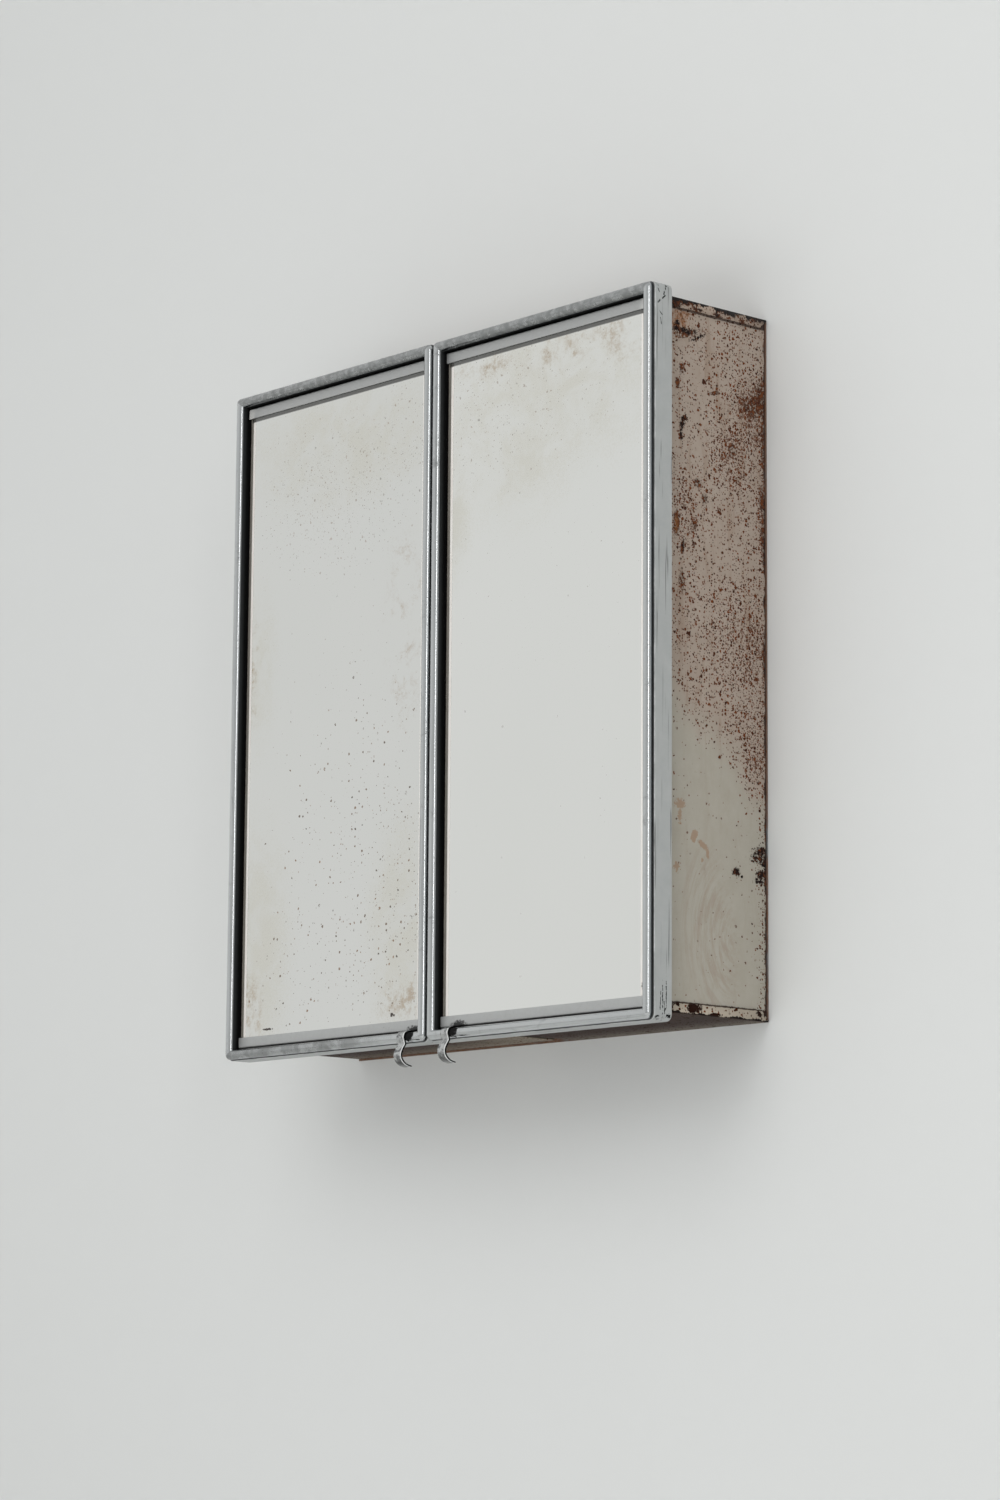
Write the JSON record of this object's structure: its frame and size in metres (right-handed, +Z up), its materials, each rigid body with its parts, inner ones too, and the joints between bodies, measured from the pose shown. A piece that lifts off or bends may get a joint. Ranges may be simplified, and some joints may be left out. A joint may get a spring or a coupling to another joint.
{
  "type": "medicine cabinet with mirror",
  "caption": "Wall-hung steel medicine cabinet with two hinged doors, each a bevelled mirror held in a beaded metal frame, with shelves inside.",
  "frame": {"origin": "middle of the rear face of the back panel, on the wall plane, at half the height of the doors", "axes": "+X to the right seen from the front, +Y back into the wall, +Z up"},
  "size_m": [0.5422, 0.1508, 0.6195],
  "materials": {
    "frame_metal": "polished long ago, now satin with scratches",
    "channel_metal": "dull grey",
    "mirror": "polished, lightly foxed at the edges",
    "painted_steel": "worn matte paint with rust spots",
    "rusty_steel": "worn dark paint and rust",
    "spring_steel": "bright with light scratches",
    "hinge_steel": "dull, slightly rusted",
    "card": "plain board",
    "rubber": "matte"
  },
  "bodies": {
    "cabinet": {"back_panel": "rusty_steel", "top_panel": "painted_steel", "bottom_panel_left": "painted_steel", "bottom_panel_right": "painted_steel", "shelf_upper": "painted_steel", "shelf_lower": "painted_steel", "side_panel_left": "painted_steel", "hanger_plate_left": "rusty_steel", "catch_clip_left": "spring_steel", "shelf_ledge_upper_left": "painted_steel", "shelf_ledge_lower_left": "painted_steel", "hinge_leaf_body_upper_left": "hinge_steel", "hinge_leaf_body_lower_left": "hinge_steel", "hinge_pin_upper_left": "hinge_steel", "hinge_pin_lower_left": "hinge_steel", "side_panel_right": "painted_steel", "hanger_plate_right": "rusty_steel", "catch_clip_right": "spring_steel", "shelf_ledge_upper_right": "painted_steel", "shelf_ledge_lower_right": "painted_steel", "hinge_leaf_body_upper_right": "hinge_steel", "hinge_leaf_body_lower_right": "hinge_steel", "hinge_pin_upper_right": "hinge_steel", "hinge_pin_lower_right": "hinge_steel"},
    "left_door": {"door_frame_left": "frame_metal", "mirror_left": "mirror", "mirror_card_left": "card", "mirror_channel_top_left": "channel_metal", "mirror_channel_bottom_left": "channel_metal", "door_back_plate_left": "painted_steel", "pull_tab_left": "spring_steel", "catch_tongue_left": "spring_steel", "bumper_upper_left": "rubber", "bumper_lower_left": "rubber", "hinge_leaf_door_upper_left": "hinge_steel", "hinge_leaf_door_lower_left": "hinge_steel"},
    "right_door": {"door_frame_right": "frame_metal", "mirror_right": "mirror", "mirror_card_right": "card", "mirror_channel_top_right": "channel_metal", "mirror_channel_bottom_right": "channel_metal", "door_back_plate_right": "painted_steel", "pull_tab_right": "spring_steel", "catch_tongue_right": "spring_steel", "bumper_upper_right": "rubber", "bumper_lower_right": "rubber", "hinge_leaf_door_upper_right": "hinge_steel", "hinge_leaf_door_lower_right": "hinge_steel"}
  },
  "joints": [
    {"name": "left_door_hinge", "type": "hinge", "parent": "cabinet", "child": "left_door", "pos_m": [-0.2624, -0.1185, 0], "axis": [0, 0, -1], "range_deg": [0, 105]},
    {"name": "right_door_hinge", "type": "hinge", "parent": "cabinet", "child": "right_door", "pos_m": [0.2624, -0.1185, 0], "axis": [0, 0, 1], "range_deg": [0, 105]}
  ]
}
